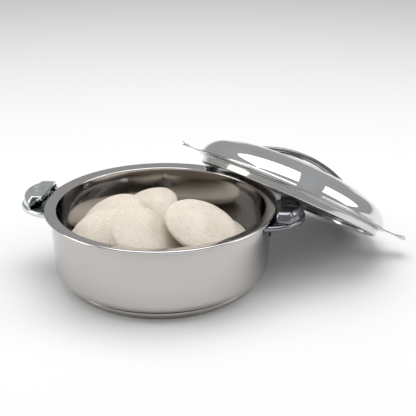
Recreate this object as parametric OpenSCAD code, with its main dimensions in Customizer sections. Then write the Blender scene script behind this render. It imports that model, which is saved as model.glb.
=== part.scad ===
// Double-walled insulated casserole with a leaning twist-lock lid and soft steamed cakes.
// Millimetres. Z is up, the table is z = 0, the side handles lie along X.

/* [Pot] */
// outer diameter of the flat rim ring
rim_d = 250; // [180:1:320]
// table to the outer edge of the rim
pot_h = 84; // [60:1:140]
// width of the polished rim ring
rim_w = 13.3; // [11:0.1:18]
// how far the rim ring drops toward the bowl
rim_drop = 1.8; // [0:0.1:4]
// how far the rim ring stands out past the wall
rim_overhang = 7; // [5:0.1:8]
// how much the wall narrows from the rim to its bottom corner
wall_taper = 2; // [0:0.5:10]
// radius of the shell's bottom corner
shell_corner_r = 10; // [6:1:24]
// radius of the bowl's bottom corner
bowl_corner_r = 18; // [8:1:30]
// foot to the floor inside the bowl
floor_lift = 3.5; // [3.5:0.5:16]
// height of the base cap
foot_h = 9.5; // [6:0.5:14]
// how far the base cap's edge sits inside the wall
foot_inset = 9; // [8:1:40]
// radius of the base cap's lower edge
foot_edge_r = 6.5; // [2:0.5:12]

/* [Sheet and gaps] */
// steel sheet of the pot and lid
sheet_t = 1; // [0.6:0.1:1.6]
// gap that keeps neighbouring pieces apart
gap = 0.15; // [0.05:0.05:0.3]

/* [Side handles] */
// how far the ear sits below the rim
ear_drop = 4.5; // [3.8:0.1:8]
// how far the ear stands out from the wall
ear_len = 36; // [26:1:42]
// half the width of the ear where it meets the wall
ear_half_w = 41; // [36:1:56]
// thickness of the ear plate
ear_t = 2; // [1.2:0.1:4]
// depth of the ear's turned-down lip
ear_lip = 3.5; // [1:0.5:8]
// half the width of the flat flange on the wall
flange_half_w = 27.5; // [22:0.5:34]
// height of the flat flange
flange_h = 14.5; // [10:0.5:24]
// thickness of the flat flange
flange_t = 2; // [1.2:0.1:3]
// distance of each rivet from the handle's centre line
rivet_y = 17; // [10:0.5:20]
// diameter of the rivet shanks
rivet_d = 4.8; // [3:0.1:7]
// top of the lock pocket above the rim
pocket_top = 7; // [5.5:0.5:14]
// wall to the inner edge of the lock pocket
pocket_set = 8; // [7.5:0.5:14]
// sheet of the lock pocket
pocket_t = 1.6; // [1:0.1:2.5]
// open side of the lock pocket from the centre line
pocket_open = 30; // [24:1:32]
// closed side of the lock pocket from the centre line
pocket_closed = 25; // [18:1:28]
// length of the slope behind the closed side
pocket_slope = 6; // [3:1:10]

/* [Lid] */
// rim's outer edge to the flange's edge
flange_inset = 9.5; // [4:0.5:11]
// gap around the skirt inside the bowl's mouth
skirt_gap = 3.2; // [1:0.1:5]
// depth of the skirt under the flange
skirt_h = 10.5; // [6:0.5:20]
// width of the folded skirt
skirt_w = 3.5; // [3:0.1:6]
// height of the dome's ridge above the flange
dome_h = 31.7; // [20:0.1:50]
// radius of the dome's ridge
ridge_r = 51.5; // [44:0.5:64]
// height of the finger well's floor above the flange
well_h = 18.5; // [8:0.5:24]
// radius of the flat finger well
well_r = 35; // [20:1:40]
// width of the lock wings
wing_w = 20; // [14:1:26]
// wing tip to the ear's tip when the lid is closed
wing_short = 13; // [8:1:18]
// height of the arched handle's top above the dome's ridge
arch_rise = 13.6; // [9:0.1:30]
// how far the arched handle's ends bow down from its top
arch_bow = 14; // [8:0.5:20]
// width of the arched handle
arch_w = 19; // [13:1:26]
// thickness of the arched handle
arch_t = 7; // [5:0.5:8]
// radius of the arched handle's washers
washer_r = 3.2; // [3:0.1:5]

/* [Lid at rest] */
// direction the lid leans down to, from the right handle
lean_az = 50; // [40:1:60]
// how far the lid is turned about its own axis
lid_turn = -50.6; // [-180:0.1:180]
// gap between the lid's low edge and the table
table_gap = 0.55; // [0.3:0.05:3]

/* [Cakes] */
// gap between the pile of cakes and the bowl's mouth
pile_gap = 2.3; // [1.5:0.1:20]
// thickness of one cake as a share of its diameter
cake_plump = 0.305; // [0.15:0.005:0.305]

/* [Hidden] */
$fn = 96;
rim_r = rim_d / 2;
rim_in = rim_r - rim_w;
rim_z = pot_h - rim_drop;
bead_r = 1.6;
wall_top = rim_r - rim_overhang;
wall_low = wall_top - wall_taper;
foot_r = wall_low - foot_inset;
// the lower edge stops where the groove begins
cap_edge = min(foot_edge_r, foot_h - 2.8);
floor_z = foot_h + floor_lift;
ear_z = pot_h - ear_drop;
ear_reach = wall_top + ear_len;
pocket_in = wall_top + pocket_set;
flange_x = wall_top + 0.2;
rivet_z = ear_z - ear_t - flange_h / 2;
strip_out = wall_top - sheet_t - 1;
strip_in = strip_out - 1.2;
strip_x = sqrt(pow(strip_in, 2) - pow(rivet_y + 0.8 * rivet_d, 2));
roof_z = pot_h + pocket_top;
flange_r = rim_r - flange_inset;
skirt_r = rim_in - skirt_gap;
foam_r = flange_r - 16.5;
wing_in = foam_r + 2;
wing_reach = ear_reach - wing_short;
arch_h = dome_h + arch_rise;
arch_half = ridge_r + 4.5;
// the lid leans from the table to the rear of the rim
lean_len = 156.6 * flange_r / 115.5;
lean = asin((pot_h - table_gap) / lean_len);
lid_z = table_gap + skirt_h * cos(lean) + skirt_r * sin(lean);
// the lid's centre stays the same way along the slope from the rim it leans on
lid_out = 163.6 * rim_r / 125;
lid_slide = (97.57 - flange_r * cos(lean)) / 2;
lid_pos = [lid_out * cos(lean_az - 14.2) - lid_slide * cos(lean_az),
  lid_out * sin(lean_az - 14.2) - lid_slide * sin(lean_az), lid_z];
screw_x = ridge_r - 1.5;
// how far the screws go in above the dome's ridge
screw_bite = 1.3;
screw_seat = dome_h - sheet_t - 2;
// the pile keeps its shape and fills the bowl's mouth
pile_k = (rim_in - pile_gap) / 109.4;
cake_r = 41 * pile_k;
cake_t = 2 * cake_r * cake_plump;

steel = [0.72, 0.71, 0.70];
polished = [0.82, 0.83, 0.85];
dark_steel = [0.30, 0.30, 0.32];
foam = [0.93, 0.90, 0.80];
cream = [0.86, 0.80, 0.71];

// ---- helpers -------------------------------------------------------------------------------

function unit(v) = v / norm(v);
function seg_n(p, i) = let(d = unit(p[i + 1] - p[i])) [-d.y, d.x];
// mitred normal at point i of an open path
function vert_n(p, i) =
  i == 0 ? seg_n(p, 0)
  : i == len(p) - 1 ? seg_n(p, len(p) - 2)
  : let(a = seg_n(p, i - 1), b = seg_n(p, i)) (a + b) / (1 + a * b);
function shifted(p, s) = [for (i = [0:len(p) - 1]) p[i] + s * vert_n(p, i)];
function flipped(p) = [for (i = [len(p) - 1:-1:0]) p[i]];
// closed outline of a sheet between a path and the same path moved by t along its normals
function sheet(p, t) = concat(p, flipped(shifted(p, t)));
function arc(cx, cy, r, a0, a1, n) =
  [for (i = [0:n]) let(a = a0 + (a1 - a0) * i / n) [cx + r * cos(a), cy + r * sin(a)]];
// smooth curve through control points
function spline(q, n) = [
  for (i = [0:len(q) - 2], k = [0:n - 1])
    let(a = q[max(i - 1, 0)], b = q[i], c = q[i + 1], d = q[min(i + 2, len(q) - 1)], t = k / n)
    0.5 * (2 * b + (c - a) * t + (2 * a - 5 * b + 4 * c - d) * t * t
      + (3 * b - a - 3 * c + d) * t * t * t),
  q[len(q) - 1]
];

module revolve(p) { rotate_extrude(convexity = 6) polygon(p); }

// the frame of the lid where it leans against the pot
module lid_frame() {
  translate(lid_pos) rotate([0, lean, lean_az]) rotate([0, 0, lid_turn]) children();
}

// side 1 is the right handle, side -1 the left one
module at_side(side) { rotate([0, 0, side > 0 ? 0 : 180]) children(); }

// ---- pot -----------------------------------------------------------------------------------

function wall_r(z) = wall_low + (wall_top - wall_low)
  * (z - foot_h - shell_corner_r) / (pot_h - 2 - foot_h - shell_corner_r);
function bowl_wall() = concat(
  [[rim_in - 0.3, rim_z - 2], [rim_in - 1.7, floor_z + bowl_corner_r]],
  [for (p = arc(rim_in - 1.7 - bowl_corner_r, floor_z + bowl_corner_r, bowl_corner_r, -9, -90, 9)) p],
  [[0, floor_z]]
);
function shell_wall(top) = concat(
  [[wall_r(top), top]],
  arc(wall_low - shell_corner_r, foot_h + shell_corner_r, shell_corner_r, 0, -90, 9),
  [[0, foot_h]]
);

module inner_bowl() {
  rim_in_top = rim_z + 0.12;
  path = concat(
    arc(rim_r - bead_r, pot_h - bead_r, bead_r, -90, 90, 8),
    [[rim_in + 1.2, rim_in_top]],
    [[rim_in + 0.3, rim_in_top - 0.5], [rim_in - 0.1, rim_in_top - 1.2]],
    bowl_wall()
  );
  color(polished) revolve(sheet(path, sheet_t));
}

module rivet_bores(side, d) {
  at_side(side) for (y = [-rivet_y, rivet_y])
    translate([wall_top - 8, y, rivet_z]) rotate([0, 90, 0]) cylinder(h = 18, d = d);
}

module outer_shell() {
  under_rim = pot_h - (rim_overhang + sheet_t) * rim_drop / rim_w - sheet_t;
  color(steel) difference() {
    revolve(sheet(shell_wall(under_rim - gap), -sheet_t));
    for (side = [-1, 1]) rivet_bores(side, rivet_d + 0.2);
  }
}

module body_insulation() {
  top = rim_z - 3;
  outer = shifted(shell_wall(top), -sheet_t - gap);
  inner = shifted(concat([[rim_in - 0.3, top]], [for (i = [1:len(bowl_wall()) - 1]) bowl_wall()[i]]),
    sheet_t + gap);
  color(foam) difference() {
    revolve(concat(outer, flipped(inner)));
    for (side = [-1, 1]) at_side(side)
      translate([strip_x - 12, -rivet_y - 9, rivet_z - 9]) cube([24, 2 * rivet_y + 18, 60]);
  }
}

module base_cap() {
  path = concat(
    [[foot_r - 2.6, foot_h - 0.05], [foot_r - 2.6, foot_h - 1.2], [foot_r - 1, foot_h - 1.8],
      [foot_r, foot_h - 2.6]],
    arc(foot_r - cap_edge, cap_edge, cap_edge, 0, -90, 9),
    [[0, 0]]
  );
  color(steel) revolve(sheet(path, -sheet_t));
}

// ---- side handles --------------------------------------------------------------------------

// plan outline of the ear, moved inward by i
function ear_outline(i) = let(x0 = sqrt(wall_top * wall_top - ear_half_w * ear_half_w) + 0.4)
  [for (a = [0:6:180])
    let(c = cos(a), s = sin(a))
    [x0 + (ear_reach - x0 - i) * s, (ear_half_w - i) * c]];

module pot_space(z0, h) { translate([0, 0, z0]) cylinder(h = h, r = wall_top + gap, $fn = 96); }

module side_handle(side) {
  color(side > 0 ? dark_steel : polished) difference() {
    at_side(side) union() {
      difference() {
        union() {
          translate([0, 0, ear_z - ear_t]) linear_extrude(ear_t) polygon(ear_outline(0));
          translate([0, 0, ear_z - ear_t - ear_lip]) linear_extrude(ear_lip + 0.5)
            difference() { polygon(ear_outline(0)); polygon(ear_outline(1.6)); }
        }
        pot_space(ear_z - 20, 40);
      }
      translate([flange_x, -flange_half_w, ear_z - ear_t - flange_h])
        cube([flange_t, 2 * flange_half_w, flange_h + ear_t / 2]);
    }
    rivet_bores(side, rivet_d + 0.2);
  }
}

// the pocket's outline inside the ear, moved inward by i
module pocket_plan(i) {
  intersection() {
    polygon(ear_outline(1.6 + i));
    translate([pocket_in + i, -pocket_closed - pocket_slope + i])
      square([60, pocket_closed + pocket_slope + pocket_open - i + (i > 0 ? 5 : 0)]);
  }
}

// the pocket's height, with its sloping closed end
module pocket_body(i) {
  h = roof_z - ear_z;
  difference() {
    translate([0, 0, ear_z]) linear_extrude(h - i) pocket_plan(i);
    translate([100, -pocket_closed, roof_z - i])
      rotate([atan2(h - 1.5, pocket_slope), 0, 0]) translate([0, -80, 0]) cube([80, 80, 40]);
  }
}

module lock_pocket(side) {
  color(side > 0 ? dark_steel : polished) at_side(side) {
    difference() {
      pocket_body(0);
      translate([0, 0, -0.01]) pocket_body(pocket_t);
      // slot toward the pot that lets the lid's wing swing in
      translate([pocket_in - 2, -pocket_closed + 4, pot_h - 2]) cube([6, 60, pocket_top]);
    }
    // generic raised frames on the roof
    for (s = [15, 8]) translate([(pocket_in + ear_reach) / 2 - 1.5, 0, roof_z + 0.2])
      difference() { cube([s, s, 0.4], center = true); cube([s - 2, s - 2, 1], center = true); }
  }
}

module handle_rivets() {
  color(polished) for (side = [-1, 1]) at_side(side) for (y = [-rivet_y, rivet_y])
    translate([0, y, rivet_z]) rotate([0, 90, 0]) {
      translate([0, 0, strip_x - 1.1]) cylinder(h = flange_x + flange_t + 0.2 - strip_x + 1.1, d = rivet_d);
      translate([0, 0, flange_x + flange_t + 0.05])
        cylinder(h = 1.3, d1 = rivet_d * 1.9, d2 = rivet_d * 1.2);
      translate([0, 0, strip_x - 1.15]) cylinder(h = 1, d = rivet_d * 1.6);
    }
}

module backing_strip(side) {
  color(steel) at_side(side) difference() {
    intersection() {
      translate([0, 0, rivet_z - 6]) difference() {
        cylinder(h = 12, r = strip_out);
        translate([0, 0, -1]) cylinder(h = 14, r = strip_in);
      }
      translate([0, -rivet_y - 6, rivet_z - 7]) cube([2 * wall_top, 2 * rivet_y + 12, 14]);
    }
    rivet_bores(1, rivet_d + 0.2);
  }
}

// ---- lid -----------------------------------------------------------------------------------

// radius on the dome, from 0 at the ridge to 1 at the flange's edge
function dome_r(u) = ridge_r + (flange_r - ridge_r) * u;
// radius on the well's side, from 0 at its floor to 1 at the ridge
function side_r(u) = well_r + (ridge_r - well_r) * u;
// outer surface of the dome from the flange's edge to the centre
function dome_path() = concat(
  [[flange_r, 0.2], [flange_r, 1.3], [flange_r - 0.8, 2]],
  spline([[dome_r(0.961), 2.3], [dome_r(0.939), 0.22 * dome_h], [dome_r(0.869), 0.435 * dome_h],
      [dome_r(0.763), 0.617 * dome_h], [dome_r(0.627), 0.735 * dome_h], [dome_r(0.458), 0.855 * dome_h],
      [dome_r(0.28), 0.94 * dome_h], [dome_r(0.12), 0.989 * dome_h], [ridge_r, dome_h],
      [side_r(0.7), dome_h - 1.4], [side_r(0.42), well_h + 0.55 * (dome_h - well_h)],
      [side_r(0.18), well_h + 0.12 * (dome_h - well_h)], [well_r, well_h]], 3),
  [[0, well_h]]
);

module screw_holes(r, z0) {
  for (x = [-screw_x, screw_x]) translate([x, 0, z0]) cylinder(h = 40, r = r);
}

module lid_dome() {
  color(polished) lid_frame() difference() {
    revolve(sheet(dome_path(), sheet_t));
    // notches for the wings
    for (s = [0, 180]) rotate([0, 0, s])
      translate([foam_r - 1, -wing_w / 2 - 0.3, -0.5]) cube([30, wing_w + 0.6, 2.9]);
    screw_holes(2.2, well_h + 2);
  }
}

module lid_pan() {
  color(steel) lid_frame() revolve([
    [0, 0], [flange_r - 0.6, 0], [flange_r, -0.3 * sheet_t], [flange_r, -0.7 * sheet_t],
    [flange_r - 0.6, -sheet_t], [0, -sheet_t]
  ]);
}

// folded ring under the pan that drops into the bowl's mouth
module lid_skirt() {
  in_r = skirt_r - skirt_w;
  top = -sheet_t - 0.05;
  color(steel) lid_frame() revolve([
    [skirt_r, top], [skirt_r, 1 - skirt_h], [skirt_r - 0.4, 0.35 - skirt_h], [skirt_r - 1, -skirt_h],
    [in_r + 1, -skirt_h], [in_r + 0.4, 0.35 - skirt_h], [in_r, 1 - skirt_h], [in_r, top],
    [in_r + sheet_t, top], [in_r + sheet_t, sheet_t + 0.2 - skirt_h],
    [skirt_r - sheet_t, sheet_t + 0.2 - skirt_h], [skirt_r - sheet_t, top]
  ]);
}

module lid_insulation() {
  inside = [for (p = shifted(dome_path(), sheet_t + gap)) if (p.x < foam_r) p];
  color(foam) lid_frame() difference() {
    revolve(concat(inside, [[0, gap], [inside[0].x, gap]]));
    // ring channel that leaves room for the screws at any turn of the lid
    translate([0, 0, screw_seat - 6]) difference() {
      cylinder(h = 40, r = screw_x + 5);
      translate([0, 0, -1]) cylinder(h = 42, r = screw_x - 5);
    }
  }
}

// flat strap with a folded hem at its end
module lid_wing(side) {
  hem_r = 2.3;
  hem_in = wing_reach - 13;
  w = wing_w / 2;
  neck = w - 2.5;
  color(polished) lid_frame() at_side(side) intersection() {
    translate([0, w, 0]) rotate([90, 0, 0]) linear_extrude(wing_w)
      polygon(concat([[wing_in, 1.6], [wing_in, 0.1], [hem_in, 0.1]],
        arc(wing_reach - hem_r, 1.1, hem_r, -110, 100, 14), [[hem_in, 1.6]]));
    translate([0, 0, -5]) linear_extrude(12) polygon(concat(
      [[wing_in - 1, -w], [flange_r + 1.5, -w], [flange_r + 4, -neck], [hem_in - 2.5, -neck],
        [hem_in + 2, -w]],
      arc(wing_reach - 5, 5 - w, 5, -90, 0, 5), arc(wing_reach - 5, w - 5, 5, 0, 90, 5),
      [[hem_in + 2, w], [hem_in - 2.5, neck], [flange_r + 4, neck], [flange_r + 1.5, w], [wing_in - 1, w]]));
  }
}

// rounded section of the arched handle about its own centre
function arch_section() = [for (a = [0:12:348])
  [arch_t / 2 * sign(cos(a)) * pow(abs(cos(a)), 0.6), arch_w / 2 * sign(sin(a)) * pow(abs(sin(a)), 0.55)]];

module lid_handle() {
  big_r = (arch_half * arch_half + arch_bow * arch_bow) / (2 * arch_bow) - arch_t / 2;
  half_a = asin(arch_half / (big_r + arch_t / 2));
  color(dark_steel) lid_frame() difference() {
    translate([0, 0, arch_h - arch_t / 2 - big_r]) rotate([90, 0, 0]) rotate([0, 0, 90 - half_a])
      rotate_extrude(angle = 2 * half_a) translate([big_r, 0]) polygon(arch_section());
    for (x = [-screw_x, screw_x]) translate([x, 0, dome_h - 10]) cylinder(h = 10 + screw_bite, r = 1.75);
    revolve(concat([[0, 0], [flange_r, 0]], shifted(dome_path(), -0.1)));
  }
}

module lid_handle_washers() {
  color(steel) lid_frame() for (x = [-screw_x, screw_x]) translate([x, 0, screw_seat - 1.2]) difference() {
    cylinder(h = 1.2, r = washer_r);
    translate([0, 0, -1]) cylinder(h = 4, r = 1.9);
  }
}

module lid_handle_screws() {
  color(steel) lid_frame() for (x = [-screw_x, screw_x]) translate([x, 0, 0]) {
    translate([0, 0, screw_seat - 1.5]) cylinder(h = dome_h + screw_bite - 0.3 - screw_seat + 1.5, r = 1.65);
    translate([0, 0, screw_seat - 3.4]) cylinder(h = 2.1, r = 3.2);
  }
}

// ---- cakes ---------------------------------------------------------------------------------

module cake(pos, lean_by, toward) {
  color(cream) translate(pos) rotate([0, lean_by, toward])
    revolve(concat([[0, -cake_t / 2]],
      [for (a = [-80:10:80]) [cake_r * cos(a), cake_t / 2 * sin(a)]], [[0, cake_t / 2]]));
}

// a cake placed by its place in the pile, counted from the middle of the bowl's floor
module pile_cake(x, y, z, lean_by = 0, toward = 0) {
  cake([x * pile_k, y * pile_k, floor_z + z * pile_k], lean_by, toward);
}

// lower layer, flat on the floor
module cake_low_left() { pile_cake(-42.1, 42.1, 12.8); }
module cake_low_front() { pile_cake(-42.1, -42.1, 12.8); }
module cake_low_right() { pile_cake(42.1, -42.1, 12.8); }
// upper cakes, leaning on the lower ones
module cake_under_right() { pile_cake(56.7, -25.1, 41, 14.5, -89.5); }
module cake_left_front() { pile_cake(-48.6, -54.7, 45.1, 36.1, -98.8); }
module cake_middle_front() { pile_cake(-0.8, -69, 59.9, 37.2, -21.7); }
module cake_right() { pile_cake(52.8, -48.6, 66.5, 25.8, -26.6); }
module cake_left_rear() { pile_cake(-55.2, -4.1, 45.7, 30.9, -131.1); }
module cake_middle_rear() { pile_cake(-25.5, 27.9, 44.6, 28.3, -137.9); }

// ---- one line per piece --------------------------------------------------------------------

inner_bowl();
outer_shell();
body_insulation();
base_cap();
side_handle(-1);  // left_handle
side_handle(1);  // right_handle
lock_pocket(-1);  // left_lock_pocket
lock_pocket(1);  // right_lock_pocket
handle_rivets();
backing_strip(-1);  // left_backing_strip
backing_strip(1);  // right_backing_strip
lid_dome();
lid_pan();
lid_skirt();
lid_insulation();
lid_wing(-1);  // left_lid_wing
lid_wing(1);  // right_lid_wing
lid_handle();
lid_handle_washers();
lid_handle_screws();
cake_left_front();
cake_middle_front();
cake_right();
cake_left_rear();
cake_middle_rear();
cake_under_right();
cake_low_left();
cake_low_front();
cake_low_right();
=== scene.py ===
import math

import bmesh
import bpy
from mathutils import Matrix, Vector, noise


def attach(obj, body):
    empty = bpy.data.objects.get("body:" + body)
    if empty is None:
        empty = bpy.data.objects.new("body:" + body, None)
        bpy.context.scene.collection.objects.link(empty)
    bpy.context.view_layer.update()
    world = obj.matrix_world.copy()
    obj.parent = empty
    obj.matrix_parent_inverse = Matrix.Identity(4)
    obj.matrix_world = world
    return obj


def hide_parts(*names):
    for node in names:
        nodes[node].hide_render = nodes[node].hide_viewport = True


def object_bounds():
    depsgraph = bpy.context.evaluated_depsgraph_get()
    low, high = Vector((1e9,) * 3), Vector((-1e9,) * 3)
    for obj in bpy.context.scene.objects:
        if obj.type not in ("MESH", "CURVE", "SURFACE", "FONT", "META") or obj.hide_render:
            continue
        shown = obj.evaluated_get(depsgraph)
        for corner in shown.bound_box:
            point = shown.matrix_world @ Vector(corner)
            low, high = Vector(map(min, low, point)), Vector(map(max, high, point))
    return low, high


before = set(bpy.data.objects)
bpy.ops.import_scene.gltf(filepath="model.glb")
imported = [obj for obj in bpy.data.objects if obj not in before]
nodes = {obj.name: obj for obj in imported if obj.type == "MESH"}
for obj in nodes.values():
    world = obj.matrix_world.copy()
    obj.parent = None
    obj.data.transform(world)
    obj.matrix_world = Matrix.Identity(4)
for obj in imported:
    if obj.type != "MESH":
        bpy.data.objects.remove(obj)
cadLow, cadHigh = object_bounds()
mm = 0.001

cameraSet = {"place": (0.1828, -0.8601, 0.4437), "turn": (67.331, 0, 8.743), "lens": 76.61}
cameraData = bpy.data.cameras.new("camera")
camera = bpy.data.objects.new("camera", cameraData)
cameraData.sensor_width = 36
cameraData.lens = cameraSet["lens"]
camera.location = cameraSet["place"]
camera.rotation_euler = [math.radians(a) for a in cameraSet["turn"]]
bpy.context.collection.objects.link(camera)
bpy.context.scene.camera = camera
bpy.context.scene.view_settings.view_transform = "Standard"


def node(tree, kind, **values):
    made = tree.nodes.new(kind)
    for name, value in values.items():
        setattr(made, name, value)
    return made


def ramp(tree, source, stops):
    made = node(tree, "ShaderNodeValToRGB")
    tree.links.new(source, made.inputs[0])
    band = made.color_ramp
    while len(band.elements) < len(stops):
        band.elements.new(0.5)
    for element, (place, shade) in zip(band.elements, stops):
        element.position = place
        tone = shade if isinstance(shade, (tuple, list)) else (shade, shade, shade)
        element.color = (*tone, 1)
    return made.outputs[0]


roomSet = {"low": 0.55, "high": 0.75, "power": 0.6}


def buildRoom(s=roomSet):
    # an even grey room, a little lighter overhead
    world = bpy.data.worlds.new("room")
    bpy.context.scene.world = world
    world.use_nodes = True
    tree = world.node_tree
    back = tree.nodes["Background"]
    parts = node(tree, "ShaderNodeSeparateXYZ")
    tree.links.new(node(tree, "ShaderNodeTexCoord").outputs["Generated"], parts.inputs[0])
    up = node(tree, "ShaderNodeMapRange")
    up.inputs["From Min"].default_value = -1
    tree.links.new(parts.outputs["Z"], up.inputs["Value"])
    tree.links.new(ramp(tree, up.outputs[0], [(0.0, s["low"]), (1.0, s["high"])]), back.inputs["Color"])
    back.inputs["Strength"].default_value = s["power"]


def softbox(name, place, aim, size, power):
    data = bpy.data.lights.new(name, "AREA")
    data.shape = "RECTANGLE"
    data.size, data.size_y = size
    data.energy = power
    lamp = bpy.data.objects.new(name, data)
    lamp.location = place
    lamp.rotation_euler = (Vector(aim) - Vector(place)).to_track_quat("-Z", "Y").to_euler()
    bpy.context.collection.objects.link(lamp)


floorSet = {"half": 6.0, "shade": 0.88, "rough": 0.9, "gloss": 0.1, "drop": 0.0003}


def buildFloor():
    bm = bmesh.new()
    bmesh.ops.create_grid(bm, x_segments=1, y_segments=1, size=floorSet["half"])
    bmesh.ops.translate(bm, verts=bm.verts, vec=(0, 0, cadLow.z - floorSet["drop"]))
    mesh = bpy.data.meshes.new("floor")
    bm.to_mesh(mesh)
    bm.free()
    floor = bpy.data.objects.new("floor", mesh)
    bpy.context.collection.objects.link(floor)
    paint = bpy.data.materials.new("floorPaint")
    paint.use_nodes = True
    tree = paint.node_tree
    shader = tree.nodes["Principled BSDF"]
    shader.inputs["Roughness"].default_value = floorSet["rough"]
    shader.inputs["Specular IOR Level"].default_value = floorSet["gloss"]
    shader.inputs["Base Color"].default_value = (floorSet["shade"],) * 3 + (1,)
    mesh.materials.append(paint)


lampSet = [
    ("overhead", (0, 0.2, 1.7), (0, 0, 0), (1.6, 1.6), 20),
    ("leftSide", (-1.6, -0.4, 0.9), (0, 0, 0.05), (1.0, 1.0), 9),
    ("rightSide", (1.6, 0.2, 0.9), (0, 0, 0.05), (1.0, 1.0), 7),
]

print("stage: room, floor and lights")
buildRoom()
buildFloor()
for lamp in lampSet:
    softbox(*lamp)


def startFinish(name, turn=None):
    made = bpy.data.materials.new(name)
    made.use_nodes = True
    tree = made.node_tree
    where = node(tree, "ShaderNodeTexCoord").outputs["Object"]
    if turn is not None:  # a pattern centred on a tilted piece
        mapped = node(tree, "ShaderNodeMapping", vector_type="TEXTURE")
        mapped.inputs["Location"].default_value = turn.to_translation()
        mapped.inputs["Rotation"].default_value = turn.to_euler()
        tree.links.new(where, mapped.inputs["Vector"])
        where = mapped.outputs[0]
    return made, tree, tree.nodes["Principled BSDF"], where


def grain(tree, where, scale, detail=2.0, rough=0.5):
    made = node(tree, "ShaderNodeTexNoise")
    made.inputs["Scale"].default_value = scale
    made.inputs["Detail"].default_value = detail
    made.inputs["Roughness"].default_value = rough
    tree.links.new(where, made.inputs["Vector"])
    return made.outputs["Fac"]


def spread(tree, source, low, high, fromLow=0.3, fromHigh=0.7):
    made = node(tree, "ShaderNodeMapRange")
    made.inputs["From Min"].default_value = fromLow
    made.inputs["From Max"].default_value = fromHigh
    made.inputs["To Min"].default_value = low
    made.inputs["To Max"].default_value = high
    tree.links.new(source, made.inputs["Value"])
    return made.outputs[0]


def sums(tree, kind, first, second):
    made = node(tree, "ShaderNodeMath", operation=kind)
    for socket, value in zip(made.inputs, (first, second)):
        if isinstance(value, (int, float)):
            socket.default_value = value
        else:
            tree.links.new(value, socket)
    return made.outputs[0]


def ringPattern(tree, where, around):
    parts = node(tree, "ShaderNodeSeparateXYZ")
    tree.links.new(where, parts.inputs[0])
    squares = sums(tree, "ADD", sums(tree, "MULTIPLY", parts.outputs["X"], parts.outputs["X"]),
                   sums(tree, "MULTIPLY", parts.outputs["Y"], parts.outputs["Y"]))
    radius = sums(tree, "SQRT", squares, 0)
    joined = node(tree, "ShaderNodeCombineXYZ")
    tree.links.new(radius, joined.inputs["X"])
    tree.links.new(parts.outputs["Z"], joined.inputs["Z"])
    angle = sums(tree, "MULTIPLY", sums(tree, "ARCTAN2", parts.outputs["Y"], parts.outputs["X"]), around)
    tree.links.new(angle, joined.inputs["Y"])
    return joined.outputs[0]


def bump(tree, shader, source, strength, distance):
    made = node(tree, "ShaderNodeBump")
    made.inputs["Strength"].default_value = strength
    made.inputs["Distance"].default_value = distance
    tree.links.new(source, made.inputs["Height"])
    last = shader.inputs["Normal"].links
    if last:
        tree.links.new(last[0].from_socket, made.inputs["Normal"])
    tree.links.new(made.outputs[0], shader.inputs["Normal"])


def tint(tree, shader, source, dark, light, low=0.3, high=0.7):
    tree.links.new(ramp(tree, source, [(low, dark), (high, light)]), shader.inputs["Base Color"])


def spunSteel(name, dark, light, rough, lines=900, streak=0.5, lineBump=0.05, turn=None):
    made, tree, shader, where = startFinish(name, turn)
    shader.inputs["Metallic"].default_value = 1
    rings = ringPattern(tree, where, 0.004)
    fine = grain(tree, rings, lines, 3, 0.6)
    haze = grain(tree, where, 22, 3, 0.55)
    both = sums(tree, "ADD", sums(tree, "MULTIPLY", fine, 0.7), sums(tree, "MULTIPLY", haze, 0.3))
    tree.links.new(spread(tree, both, *rough), shader.inputs["Roughness"])
    tint(tree, shader, both, dark, light)
    bump(tree, shader, fine, lineBump, 0.0002)
    if streak:
        shader.inputs["Anisotropic"].default_value = streak
        shader.inputs["Anisotropic Rotation"].default_value = 0.25
        tangent = node(tree, "ShaderNodeTangent", direction_type="RADIAL", axis="Z")
        tree.links.new(tangent.outputs[0], shader.inputs["Tangent"])
    return made


def polishedSteel(name, dark, light, rough, turn=None, ripple=0.02):
    made, tree, shader, where = startFinish(name, turn)
    shader.inputs["Metallic"].default_value = 1
    smear = grain(tree, where, 34, 4, 0.6)
    scratch = grain(tree, where, 420, 2, 0.5)
    both = sums(tree, "ADD", sums(tree, "MULTIPLY", smear, 0.75), sums(tree, "MULTIPLY", scratch, 0.25))
    tree.links.new(spread(tree, both, *rough), shader.inputs["Roughness"])
    tint(tree, shader, smear, dark, light)
    bump(tree, shader, grain(tree, where, 18, 1, 0.4), ripple, 0.001)
    return made


def cakeFinish(name):
    made, tree, shader, where = startFinish(name)
    shader.inputs["Roughness"].default_value = 0.72
    shader.inputs["Specular IOR Level"].default_value = 0.25
    blotch = grain(tree, where, 45, 5, 0.65)
    holes = node(tree, "ShaderNodeTexVoronoi", feature="SMOOTH_F1")
    holes.inputs["Scale"].default_value = 520
    holes.inputs["Randomness"].default_value = 1
    tree.links.new(where, holes.inputs["Vector"])
    pits = spread(tree, holes.outputs["Distance"], 0, 1, 0.05, 0.42)
    mixed = sums(tree, "ADD", sums(tree, "MULTIPLY", blotch, 0.7), sums(tree, "MULTIPLY", pits, 0.3))
    tint(tree, shader, mixed, cakeSet["dark"], cakeSet["light"], 0.25, 0.72)
    bump(tree, shader, pits, 0.5, 0.0005)
    bump(tree, shader, grain(tree, where, 260, 5, 0.65), 0.6, 0.0009)
    return made


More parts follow.
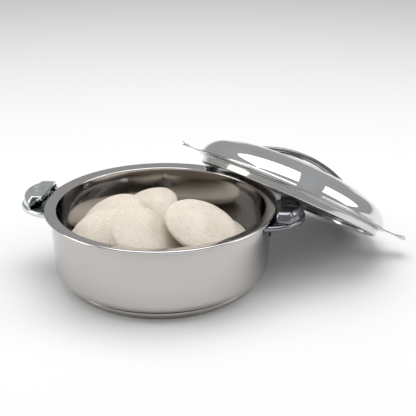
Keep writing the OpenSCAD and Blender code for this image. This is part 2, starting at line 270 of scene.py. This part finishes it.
def paintSlotShade(finish, reach):
    # painted shade: the flange's outer ends stand off the round wall, and they are painted near black to
    # stand for the shadowed slots there
    tree = finish.node_tree
    shader = tree.nodes["Principled BSDF"]
    parts = node(tree, "ShaderNodeSeparateXYZ")
    tree.links.new(node(tree, "ShaderNodeTexCoord").outputs["Object"], parts.inputs[0])
    slotShadeMask = sums(tree, "GREATER_THAN", sums(tree, "ABSOLUTE", parts.outputs["Y"], 0), reach)
    mix = node(tree, "ShaderNodeMix", data_type="RGBA")
    tree.links.new(slotShadeMask, mix.inputs["Factor"])
    tree.links.new(shader.inputs["Base Color"].links[0].from_socket, mix.inputs["A"])
    # near-black painted shade for the slots
    mix.inputs["B"].default_value = (0.015, 0.02, 0.025, 1)
    tree.links.new(mix.outputs["Result"], shader.inputs["Base Color"])
    return finish


def foamFinish(name):
    made, tree, shader, where = startFinish(name)
    shader.inputs["Roughness"].default_value = 0.85
    cells = node(tree, "ShaderNodeTexVoronoi")
    cells.inputs["Scale"].default_value = 700
    tree.links.new(where, cells.inputs["Vector"])
    tint(tree, shader, cells.outputs["Distance"], (0.62, 0.57, 0.42), (0.84, 0.80, 0.66), 0.0, 0.6)
    bump(tree, shader, cells.outputs["Distance"], 0.4, 0.0006)
    return made


cakeSet = {"radius": 41, "half": 12.5, "dark": (0.60, 0.515, 0.42),
           "light": (0.80, 0.73, 0.635), "lump": 0.5, "pit": 0.3, "crown": 1.15}

lidTurn = (Matrix.Translation(Vector((132.743, 95.762, 67.253)) * mm)
           @ Matrix.Rotation(math.radians(50), 4, "Z")
           @ Matrix.Rotation(math.radians(32.2007), 4, "Y")
           @ Matrix.Rotation(math.radians(-50.6), 4, "Z"))

print("stage: finishes")
shellSteel = spunSteel("shellSteel", (0.50, 0.485, 0.47), (0.54, 0.525, 0.51), (0.15, 0.20), 2600, 0.7, 0.02)
# the flange steel carries painted slot shade on its ends
flangeSteelSlotShade = paintSlotShade(spunSteel("flangeSteelSlotShade", (0.56, 0.55, 0.53), (0.62, 0.61, 0.59), (0.14, 0.2),
                                 2600, 0, 0.02), 0.0258)
bowlSteel = spunSteel("bowlSteel", (0.57, 0.555, 0.545), (0.63, 0.62, 0.61), (0.07, 0.11), 2200, 0, 0.012)
capSteel = spunSteel("capSteel", (0.46, 0.435, 0.41), (0.54, 0.515, 0.49), (0.18, 0.26), 1200, 0.4)
lidSteel = polishedSteel("lidSteel", (0.66, 0.67, 0.685), (0.74, 0.75, 0.765), (0.03, 0.065), lidTurn)
skirtSteel = spunSteel("skirtSteel", (0.60, 0.60, 0.59), (0.72, 0.72, 0.71), (0.08, 0.14),
                       900, 0, 0.02, lidTurn)
panSteel = spunSteel("panSteel", (0.55, 0.54, 0.53), (0.68, 0.67, 0.66), (0.14, 0.26), 900, 0, 0.04, lidTurn)
brightSteel = polishedSteel("brightSteel", (0.67, 0.715, 0.695), (0.77, 0.81, 0.79), (0.05, 0.11))
# painted shade: a darker copy of the handle steel, standing for the shade and dark reflections on the right
# handle
handleSteelPaintedShade = polishedSteel("handleSteelPaintedShade", (0.20, 0.20, 0.22), (0.30, 0.30, 0.33), (0.10, 0.2))
archSteel = polishedSteel("archSteel", (0.20, 0.20, 0.21), (0.29, 0.29, 0.30), (0.12, 0.24), lidTurn)
fixingSteel = polishedSteel("fixingSteel", (0.6, 0.6, 0.6), (0.72, 0.72, 0.72), (0.12, 0.24))
foam = foamFinish("foam")
cakeCrumb = cakeFinish("cakeCrumb")


def bend(centreR, centreZ, radius, fromAngle, toAngle, parts):
    angles = [math.radians(fromAngle + (toAngle - fromAngle) * i / parts) for i in range(parts + 1)]
    return [(centreR + radius * math.cos(a), centreZ + radius * math.sin(a)) for a in angles]


def smoothRun(marks, parts):
    run = []
    for i in range(len(marks) - 1):
        a, b, c, d = (marks[max(i - 1, 0)], marks[i], marks[i + 1], marks[min(i + 2, len(marks) - 1)])
        for k in range(parts):
            t = k / parts
            run.append(tuple(
                0.5 * (2 * q + (r - p) * t + (2 * p - 5 * q + 4 * r - s) * t * t
                       + (3 * q - p - 3 * r + s) * t ** 3)
                for p, q, r, s in zip(a, b, c, d)))
    return run + [tuple(marks[-1])]


def lineUp(bm, points, closed=False):
    verts = [bm.verts.new(Vector(p) * mm) for p in points]
    ends = verts[1:] + verts[:1] if closed else verts[1:]
    return verts, [bm.edges.new(pair) for pair in zip(verts, ends)]


def spun(outline, closed=False, turns=192, upward=None):
    bm = bmesh.new()
    verts, edges = lineUp(bm, [(r, 0, z) for r, z in outline], closed)
    bmesh.ops.spin(bm, geom=verts + edges, cent=(0, 0, 0), axis=(0, 0, 1), dvec=(0, 0, 0),
                   angle=2 * math.pi, steps=turns, use_merge=True, use_duplicate=False)
    bmesh.ops.remove_doubles(bm, verts=bm.verts, dist=2e-6)
    bmesh.ops.recalc_face_normals(bm, faces=bm.faces)
    if upward is not None:  # which way the middle of an open shell looks
        middle = min(bm.faces, key=lambda f: f.calc_center_median().xy.length)
        if (middle.normal.z > 0) != upward:
            bmesh.ops.reverse_faces(bm, faces=bm.faces)
    return bm


def finishPiece(bm, name, body, finish, stands=(), place=None, wall=None, edge=None, even=True):
    if place is not None:
        bmesh.ops.transform(bm, matrix=place, verts=bm.verts)
    mesh = bpy.data.meshes.new(name)
    bm.to_mesh(mesh)
    bm.free()
    mesh.shade_smooth()
    mesh.materials.append(finish)
    piece = bpy.data.objects.new(name, mesh)
    bpy.context.collection.objects.link(piece)
    if wall:
        skin = piece.modifiers.new("wall", "SOLIDIFY")
        skin.thickness = wall * mm
        skin.offset = -1
        skin.use_even_offset = even
    if edge:
        soft = piece.modifiers.new("edge", "BEVEL")
        soft.width = edge * mm
        soft.segments = 2
        soft.limit_method = "ANGLE"
        soft.angle_limit = math.radians(48)
    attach(piece, body)
    if stands:
        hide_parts(*stands)
    return piece


potSet = {"rim": 124.98, "mouth": 111.7, "top": 84, "bead": 1.6, "drop": 1.8, "floor": 13, "bowlCorner": 18,
          "wallTop": 118, "wallLow": 116, "foot": 9.5, "shellCorner": 10, "capEdge": 107, "capCorner": 6.5}


def buildBowl(s=potSet):
    rimTop = s["top"] - s["drop"]
    outline = bend(s["rim"] - s["bead"], s["top"] - s["bead"], s["bead"], -90, 90, 12)
    outline += smoothRun([(s["rim"] - 3.0, s["top"] - 0.05), (s["rim"] - 7, s["top"] - 0.75),
                          (s["mouth"] + 1.7, rimTop + 0.14), (s["mouth"] + 0.6, rimTop - 0.2),
                          (s["mouth"], rimTop - 1.0), (s["mouth"] - 0.25, rimTop - 2.4)], 5)
    low = s["mouth"] - 1.7
    outline += [(s["mouth"] - 0.5, rimTop - 14), (s["mouth"] - 1.0, rimTop - 30)]
    outline += bend(low - s["bowlCorner"], s["floor"] + s["bowlCorner"], s["bowlCorner"], 0, -90, 14)
    outline += [(70, s["floor"]), (40, s["floor"]), (0, s["floor"])]
    finishPiece(spun(outline, upward=True), "innerBowl", "pot", bowlSteel,
                ["inner_bowl"], wall=0.9, edge=0.2)


def buildShell(s=potSet):
    top = 81.9
    outline = [(s["wallTop"] - 0.05, top), (s["wallTop"] - 0.6, 60), (s["wallTop"] - 1.3, 40)]
    corner = s["shellCorner"]
    outline += bend(s["wallLow"] - corner, s["foot"] + corner, corner, 0, -90, 16)
    outline += [(60, s["foot"]), (0, s["foot"])]
    finishPiece(spun(outline, upward=False), "outerShell", "pot", shellSteel,
                ["outer_shell"], wall=0.9, edge=0.2)


def buildCap(s=potSet):
    r = s["capEdge"]
    high, corner = s["foot"], s["capCorner"]
    outline = [(r - 2.6, high - 0.05), (r - 2.6, high - 1.3)]
    outline += smoothRun([(r - 2.3, high - 1.6), (r - 1.0, high - 1.8), (r - 0.25, high - 2.2),
                          (r, high - 3)], 3)
    outline += bend(r - corner, corner, corner, 0, -90, 14) + [(60, 0), (0, 0)]
    finishPiece(spun(outline, upward=False), "baseCap", "pot", capSteel,
                ["base_cap"], wall=0.9)


print("stage: pot")
buildBowl()
buildShell()
buildCap()

earSet = {"inner": 118.25, "reach": 154, "half": 41, "top": 79.5, "sheet": 1.6,
          "shoulder": [(2.2, 0), (1.1, 0.25), (0.35, 0.85), (0, 1.8), (0, 5)],
          "flange": 27.5, "flangeIn": 118.2, "flangeOut": 120.2, "flangeLow": 63,
          "rivetY": 17, "rivetZ": 70.25, "rivetR": 4.5, "flangeCorner": 4}
hoodSet = {"inner": 126, "roof": 91, "open": 30, "closed": 31, "inset": 1.6, "sheet": 1.3,
           "shoulder": [(0, 0), (0.3, 0.25), (0.9, 0.5), (2.0, 0.74), (3.6, 0.9), (5.6, 0.98), (8.0, 1.0)],
           "gap": 0.06, "frames": (15, 8), "frameX": 138.5, "frameLift": 0.35}


def earPoint(angle, inset=0.0, s=earSet):
    root = math.sqrt(118.0 ** 2 - s["half"] ** 2) + 0.4
    return (root + (s["reach"] - root - inset) * math.sin(angle), (s["half"] - inset) * math.cos(angle))


def earRun(fromAngle, toAngle, parts, inset=0.0):
    return [earPoint(fromAngle + (toAngle - fromAngle) * i / parts, inset) for i in range(parts + 1)]


def sideTurn(side):
    return Matrix.Identity(4) if side == "right" else Matrix.Rotation(math.pi, 4, "Z")


def rows(bm, lines):
    # each row of points is drawn out from the one before it
    verts, edges = lineUp(bm, lines[0])
    for line in lines[1:]:
        made = bmesh.ops.extrude_edge_only(bm, edges=edges)["geom"]
        fresh = {v for v in made if isinstance(v, bmesh.types.BMVert)}
        verts = [next(e.other_vert(v) for e in v.link_edges if e.other_vert(v) in fresh) for v in verts]
        edges = [bm.edges.get(pair) for pair in zip(verts, verts[1:])]
        for v, place in zip(verts, line):
            v.co = Vector(place) * mm


def lookOut(bm, sample, way):
    bmesh.ops.recalc_face_normals(bm, faces=bm.faces)
    face = min(bm.faces, key=lambda f: (f.calc_center_median() - Vector(sample) * mm).length)
    if face.normal.dot(Vector(way)) < 0:
        bmesh.ops.reverse_faces(bm, faces=bm.faces)


def buildEar(side, s=earSet):
    bm = bmesh.new()
    count = 56
    start = 0.05
    outer = earRun(start, math.pi - start, count)
    reach = math.degrees(math.atan2(outer[0][1], outer[0][0]))
    inner = bend(0, 0, s["inner"], reach, -reach, count)
    lines = [[(x, y, s["top"]) for x, y in inner]]
    for share in (0.3, 0.7):
        lines.append([(a + (c - a) * share, b + (d - b) * share, s["top"])
                      for (a, b), (c, d) in zip(inner, outer)])
    centre = Vector((s["inner"] + 8, 0))
    for back, drop in s["shoulder"]:
        line = []
        for x, y in outer:
            inward = (centre - Vector((x, y))).normalized() * back
            line.append((x + inward.x, y + inward.y, s["top"] - drop))
        lines.append(line)
    rows(bm, lines)
    lookOut(bm, (s["reach"] - 12, 0, s["top"]), (0, 0, 1))
    # the right ear takes the darker copy with painted shade
    finish = brightSteel if side == "left" else handleSteelPaintedShade
    finishPiece(bm, side + "Ear", "pot", finish, [side + "_handle"],
                place=sideTurn(side), wall=s["sheet"], even=False)
    # flange down the wall, fixed with two rivets
    bm = bmesh.new()
    middle = (s["flangeIn"] + s["flangeOut"]) / 2
    made = bmesh.ops.create_cube(bm, size=mm)["verts"]
    bmesh.ops.scale(bm, verts=made, vec=(s["flangeOut"] - s["flangeIn"], 2 * s["flange"],
                                         s["top"] - 1.8 - s["flangeLow"]))
    bmesh.ops.translate(bm, verts=made, vec=(middle * mm, 0, (s["top"] - 1.8 + s["flangeLow"]) / 2 * mm))
    corners = [e for e in bm.edges if abs(e.verts[0].co.y - e.verts[1].co.y) < 1e-6
               and abs(e.verts[0].co.z - e.verts[1].co.z) < 1e-6
               and max(v.co.z for v in e.verts) < (s["flangeLow"] + 1) * mm]
    bmesh.ops.bevel(bm, geom=corners, offset=s["flangeCorner"] * mm, offset_type="OFFSET", segments=6,
                    profile=0.5, affect="EDGES", material=-1)
    # the flange's finish has painted slot shade at its ends
    finishPiece(bm, side + "Flange", "pot", flangeSteelSlotShade, (),
                place=sideTurn(side), edge=0.4)


def buildHood(side, s=hoodSet):
    base = earSet["top"] - 0.2
    high = s["roof"] - base
    first = math.acos(s["open"] / (earSet["half"] - s["inset"]))
    last = math.pi - math.acos((s["closed"] - 6) / (earSet["half"] - s["inset"]))
    run = earRun(first, last, 34, s["inset"])
    cornerX, cornerY = run[-1]
    endRun = [(cornerX - 1.2, cornerY - 2.6), (cornerX - 3.6, -s["closed"] + 1.2),
              (cornerX - 7.5, -s["closed"] + 0.1)]
    while endRun[-1][0] > s["inner"] + 3:
        endRun.append((endRun[-1][0] - 2.2, -s["closed"]))
    endRun.append((s["inner"], -s["closed"]))
    stations = run + endRun
    lines = []
    for back, up in s["shoulder"]:
        line = []
        for k, (x, y) in enumerate(stations):
            inward = (Vector((s["inner"] + 8, max(min(y, 14), -14))) - Vector((x, y))).normalized() * back
            if k >= len(run):
                inward = Vector((0, 1)) * back
            line.append((x + inward.x, y + inward.y, base + high * up))
        lines.append(line)
    roofEnd = -s["closed"] + s["shoulder"][-1][0]
    for share in (0.35, 0.7, 1.0):
        line = []
        for k, (x, y, z) in enumerate(lines[len(s["shoulder"]) - 1]):
            goalY = max(y, roofEnd + s["gap"] * (len(stations) - 1 - k))
            line.append((x + (s["inner"] + 0.8 - x) * share, y + (goalY - y) * share, z))
        lines.append(line)
    for x, drop in ((0.2, 0.25), (0.0, 0.9), (0.0, 3.6)):
        lines.append([(s["inner"] + x, y, z - drop) for _, y, z in lines[len(s["shoulder"]) + 2]])
    bent = []
    for line in lines:  # the mouth's lip turns down a little
        bent.append([(x, y, z - 4.0 * max(0, (y - s["open"] + 11) / 11) ** 2 * (z - base) / high)
                     for x, y, z in line])
    bm = bmesh.new()
    rows(bm, bent)
    bmesh.ops.remove_doubles(bm, verts=bm.verts, dist=2e-6)
    lookOut(bm, (138, 0, s["roof"]), (0, 0, 1))
    # the right hood takes the darker copy with painted shade
    finish = brightSteel if side == "left" else handleSteelPaintedShade
    finishPiece(bm, side + "Hood", "pot", finish, [side + "_lock_pocket"],
                place=sideTurn(side), wall=s["sheet"], even=False)
    bm = bmesh.new()  # generic raised square frames
    for size in s["frames"]:
        made = bmesh.ops.create_grid(bm, x_segments=1, y_segments=1, size=size / 2 * mm)["verts"]
        bmesh.ops.translate(bm, verts=made, vec=(s["frameX"] * mm, 0, (s["roof"] + s["frameLift"]) * mm))
    middle = bm.faces[:]
    bmesh.ops.inset_individual(bm, faces=middle, thickness=1.0 * mm)
    bmesh.ops.delete(bm, geom=middle, context="FACES")
    finishPiece(bm, side + "Frames", "pot", finish, (), place=sideTurn(side),
                wall=0.5, edge=0.12)


def buildRivets(s=earSet):
    bm = bmesh.new()
    outline = [(0, 0, 2.3), (1.4, 0, 2.15), (2.8, 0, 1.6), (3.8, 0, 0.8), (s["rivetR"], 0, 0.15),
               (s["rivetR"], 0, -0.6), (2.4, 0, -0.6), (2.4, 0, -3)]
    for side in ("left", "right"):
        for y in (-s["rivetY"], s["rivetY"]):
            part = bmesh.new()
            verts, edges = lineUp(part, outline)
            bmesh.ops.spin(part, geom=verts + edges, cent=(0, 0, 0), axis=(0, 0, 1), dvec=(0, 0, 0),
                           angle=2 * math.pi, steps=40, use_merge=True, use_duplicate=False)
            bmesh.ops.remove_doubles(part, verts=part.verts, dist=2e-6)
            bmesh.ops.recalc_face_normals(part, faces=part.faces)
            place = (sideTurn(side) @ Matrix.Translation(Vector((s["flangeOut"], y, s["rivetZ"])) * mm)
                     @ Matrix.Rotation(math.pi / 2, 4, "Y"))
            bmesh.ops.transform(part, matrix=place, verts=part.verts)
            spare = bpy.data.meshes.new("spare")
            part.to_mesh(spare)
            part.free()
            bm.from_mesh(spare)
            bpy.data.meshes.remove(spare)
    holes = [e for e in bm.edges if e.is_boundary]
    bmesh.ops.holes_fill(bm, edges=holes, sides=0)
    finishPiece(bm, "handleRivets", "pot", fixingSteel, ["handle_rivets"])


print("stage: side handles")
for side in ("left", "right"):
    buildEar(side)
    buildHood(side)
buildRivets()

domeSet = {"flange": 115.5, "ridge": 51.5, "high": 31.7, "well": 18.5, "wellR": 35, "skirt": 108.5,
           "skirtW": 3.5, "skirtH": 10.5}


def buildDome(s=domeSet):
    h, w = s["high"], s["well"]

    def out(u):
        return s["ridge"] + (s["flange"] - s["ridge"]) * u

    def side(v):
        return s["wellR"] + (s["ridge"] - s["wellR"]) * v

    outline = smoothRun([(s["flange"], 0.25), (s["flange"] - 0.05, 1.2), (s["flange"] - 0.8, 1.95),
                         (s["flange"] - 1.7, 2.1)], 3)
    outline += smoothRun([(out(0.961), 2.3), (out(0.939), 0.22 * h), (out(0.869), 0.435 * h),
                          (out(0.763), 0.617 * h), (out(0.627), 0.735 * h), (out(0.458), 0.855 * h),
                          (out(0.28), 0.94 * h), (out(0.12), 0.989 * h), (s["ridge"], h),
                          (side(0.7), h - 1.4), (side(0.42), w + 0.55 * (h - w)),
                          (side(0.18), w + 0.12 * (h - w)), (s["wellR"], w)], 7)
    outline += [(20, w), (0, w)]
    finishPiece(spun(outline, turns=224, upward=True), "lidDome", "lid", lidSteel,
                ["lid_dome"], place=lidTurn, wall=0.9, edge=0.2)


def buildPan(s=domeSet):
    edge = s["flange"]
    outline = [(0, 0), (60, 0), (edge - 0.6, 0)] + bend(edge - 0.5, -0.5, 0.5, 90, -90, 6)
    outline += [(60, -1), (0, -1)]
    finishPiece(spun(outline, turns=224, upward=None), "lidPan", "lid", panSteel,
                ["lid_pan"], place=lidTurn)
    out, inn, low = s["skirt"], s["skirt"] - s["skirtW"], -s["skirtH"]
    outline = [(out, -1.02), (out, -5)] + bend(out - 1.3, low + 1.3, 1.3, 0, -90, 6)
    outline += bend(inn + 1.1, low + 1.1, 1.1, -90, -180, 6) + [(inn, -5), (inn, -1.02)]
    finishPiece(spun(outline, closed=True, turns=224), "lidSkirt", "lid", skirtSteel,
                ["lid_skirt"], place=lidTurn)


wingSet = {"start": 101, "tip": 141, "half": 10, "hem": 2.2}


def wingWidth(x):
    marks = [(100, 1.0), (116, 1.0), (119, 0.76), (125, 0.74), (129, 0.98), (134, 1.0),
             (138, 0.93), (140, 0.8), (141, 0.62), (143, 0.55)]
    for (a, p), (b, q) in zip(marks, marks[1:]):
        if x <= b:
            t = (x - a) / (b - a)
            return p + (q - p) * t * t * (3 - 2 * t)
    return marks[-1][1]


def buildWing(side, s=wingSet):
    bm = bmesh.new()
    hem = bend(s["tip"] - s["hem"] - 0.1, 1.1, s["hem"], -105, 105, 14)
    run = [(s["start"], 0.15), (112, 0.15), (122, 0.15), (128, -0.1), (134, -0.75)] + hem
    run += [(134, 2.85), (130.5, 2.1), (127.5, 1.5), (122, 1.5), (112, 1.5), (s["start"], 1.5)]
    verts, _ = lineUp(bm, [(x, -s["half"], z) for x, z in run], True)
    bm.faces.new(verts)
    steps = 14
    cut = bm.faces[:]
    for step in range(steps):
        made = bmesh.ops.extrude_face_region(bm, geom=cut)["geom"]
        bmesh.ops.translate(bm, verts=[g for g in made if isinstance(g, bmesh.types.BMVert)],
                            vec=(0, 2 * s["half"] / steps * mm, 0))
        if step:
            bmesh.ops.delete(bm, geom=cut, context="FACES_ONLY")
        cut = [g for g in made if isinstance(g, bmesh.types.BMFace)]
    for v in bm.verts:
        v.co.y *= wingWidth(v.co.x / mm)
    bmesh.ops.recalc_face_normals(bm, faces=bm.faces)
    turn = lidTurn if side == "right" else lidTurn @ Matrix.Rotation(math.pi, 4, "Z")
    finishPiece(bm, side + "LidWing", "lid", lidSteel, [side + "_lid_wing"],
                place=turn, edge=0.35)


archSet = {"top": 45.3, "half": 56, "bow": 14, "thick": 7, "wide": 19, "sides": 36, "steps": 40,
           "squareUp": 0.6, "squareAcross": 0.55, "rounding": 2.2}


def buildArch(s=archSet):
    bm = bmesh.new()
    outR = (s["half"] ** 2 + s["bow"] ** 2) / (2 * s["bow"])
    bigR = outR - s["thick"] / 2
    lean = math.asin(s["half"] / outR)
    centre = s["top"] - s["thick"] / 2 - bigR
    section = []
    for k in range(s["sides"]):
        a = math.radians(360 / s["sides"] * k)
        section.append((s["thick"] / 2 * math.copysign(abs(math.cos(a)) ** s["squareUp"], math.cos(a)),
                        s["wide"] / 2 * math.copysign(abs(math.sin(a)) ** s["squareAcross"], math.sin(a))))
    verts, _ = lineUp(bm, [(0, y, bigR + x) for x, y in section], True)
    bmesh.ops.rotate(bm, verts=verts, cent=(0, 0, 0), matrix=Matrix.Rotation(-lean, 3, "Y"))
    first = bm.faces.new(verts)
    bmesh.ops.spin(bm, geom=[first], cent=(0, 0, 0), axis=(0, 1, 0), dvec=(0, 0, 0),
                   angle=2 * lean, steps=s["steps"], use_merge=False, use_duplicate=False)
    bmesh.ops.recalc_face_normals(bm, faces=bm.faces)
    ends = [f for f in bm.faces if len(f.verts) > 8]
    rim = list({e for f in ends for e in f.edges})
    bmesh.ops.bevel(bm, geom=rim, offset=s["rounding"] * mm, offset_type="OFFSET", segments=4, profile=0.5,
                    affect="EDGES", material=-1, clamp_overlap=True)
    bmesh.ops.translate(bm, verts=bm.verts, vec=(0, 0, centre * mm))
    finishPiece(bm, "lidHandle", "lid", archSteel, ["lid_handle"], place=lidTurn)


print("stage: lid")
buildDome()
buildPan()
for side in ("left", "right"):
    buildWing(side)
buildArch()

cakeRows = [
    ("cake_left_front", "upper_cakes", (-48.6, -54.7, 58.1), 36.1, -98.8),
    ("cake_middle_front", "upper_cakes", (-0.8, -69, 72.9), 37.2, -21.7),
    ("cake_right", "upper_cakes", (52.8, -48.6, 79.5), 25.8, -26.6),
    ("cake_left_rear", "upper_cakes", (-55.2, -4.1, 58.7), 30.9, -131.1),
    ("cake_middle_rear", "upper_cakes", (-25.5, 27.9, 57.6), 28.3, -137.9),
    ("cake_under_right", "upper_cakes", (56.7, -25.1, 54), 14.5, -89.5),
    ("cake_low_left", "lower_cakes", (-42.1, 42.1, 25.8), 0, 0),
    ("cake_low_front", "lower_cakes", (-42.1, -42.1, 25.8), 0, 0),
    ("cake_low_right", "lower_cakes", (42.1, -42.1, 25.8), 0, 0),
]


def pieceName(cadName):
    words = cadName.split("_")
    return words[0] + "".join(w.capitalize() for w in words[1:])


def buildCake(number, cadName, body, place, leanBy, toward, s=cakeSet):
    bm = bmesh.new()
    bmesh.ops.create_icosphere(bm, subdivisions=6 if body == "upper_cakes" else 5, radius=1)
    shift = Vector((number * 7.3, number * 3.1, number * 5.7))
    for v in bm.verts:
        d = v.co.normalized()
        low = noise.noise(d * 1.7 + shift)
        mid = noise.noise(d * 5.0 + shift * 2)
        fine = noise.noise(d * 34 + shift)
        small = noise.noise(d * 62 - shift)
        around = 1 + 0.012 * low
        high = math.copysign(abs(d.z) ** s["crown"], d.z)
        size = Vector((d.x * s["radius"] * around, d.y * s["radius"] * around, high * s["half"]))
        dent = s["lump"] * (0.55 + 0.45 * low + 0.4 * mid) + s["pit"] * max(0, fine) + 0.22 * max(0, small)
        out = Vector((d.x / s["radius"], d.y / s["radius"], d.z / s["half"])).normalized()
        v.co = (size - out * dent) * mm
    bmesh.ops.smooth_vert(bm, verts=bm.verts, factor=0.3, use_axis_x=True, use_axis_y=True, use_axis_z=True)
    turn = (Matrix.Translation(Vector(place) * mm) @ Matrix.Rotation(math.radians(toward), 4, "Z")
            @ Matrix.Rotation(math.radians(leanBy), 4, "Y"))
    finishPiece(bm, pieceName(cadName), body, cakeCrumb, [cadName], place=turn)


print("stage: cakes")
for number, row in enumerate(cakeRows):
    buildCake(number, *row)


def dress(name, finish):
    held = nodes[name].data
    held.materials.clear()
    held.materials.append(finish)


for name in ("body_insulation", "lid_insulation"):
    dress(name, foam)
for name in ("left_backing_strip", "right_backing_strip", "lid_handle_washers", "lid_handle_screws"):
    dress(name, fixingSteel)
